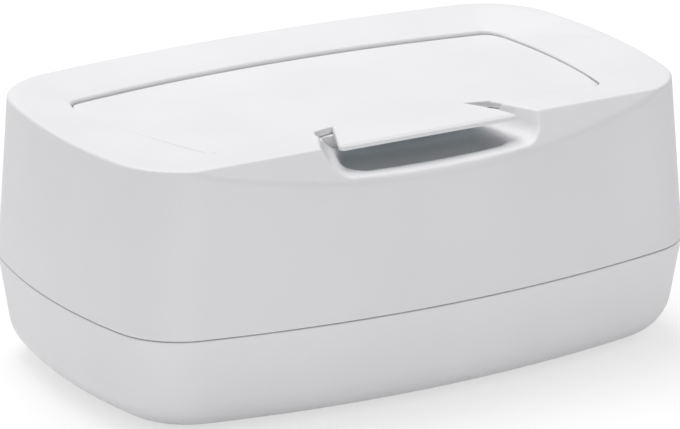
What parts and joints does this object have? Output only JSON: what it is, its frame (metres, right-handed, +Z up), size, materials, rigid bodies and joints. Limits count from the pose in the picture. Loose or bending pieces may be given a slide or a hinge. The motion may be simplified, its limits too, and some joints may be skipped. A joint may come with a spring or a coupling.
{
  "type": "wipes box",
  "caption": "Low moulded box in two rounded shells, with a hinged sealed flap, flared thumb tab and finger scoop in its top for taking out wet wipes",
  "frame": {"origin": "middle of the box at the level its feet stand on", "axes": "+X along the length, -Y towards the thumb tab, +Z up"},
  "size_m": [0.225, 0.1454, 0.0921],
  "materials": {
    "shell_plastic": "satin white moulded plastic",
    "soft_seal": "soft light grey silicone",
    "pin_steel": "drawn stainless pin",
    "soft_foot": "matt grey rubber"
  },
  "bodies": {
    "base": {"base_tray": "shell_plastic", "seam_seal": "soft_seal", "foot_front_left": "soft_foot", "foot_front_right": "soft_foot", "foot_back_left": "soft_foot", "foot_back_right": "soft_foot"},
    "casing": {"upper_casing": "shell_plastic", "hinge_pin_left": "pin_steel", "hinge_pin_right": "pin_steel"},
    "lid": {"flap_lid": "shell_plastic", "lid_seal": "soft_seal"}
  },
  "joints": [
    {"name": "casing_lift", "type": "slide", "parent": "base", "child": "casing", "axis": [0, 0, 1], "range_m": [0, 0.08]},
    {"name": "lid_hinge", "type": "hinge", "parent": "casing", "child": "lid", "pos_m": [0, 0.03279, 0.08484], "axis": [-1, 0, 0], "range_deg": [0, 86]}
  ]
}
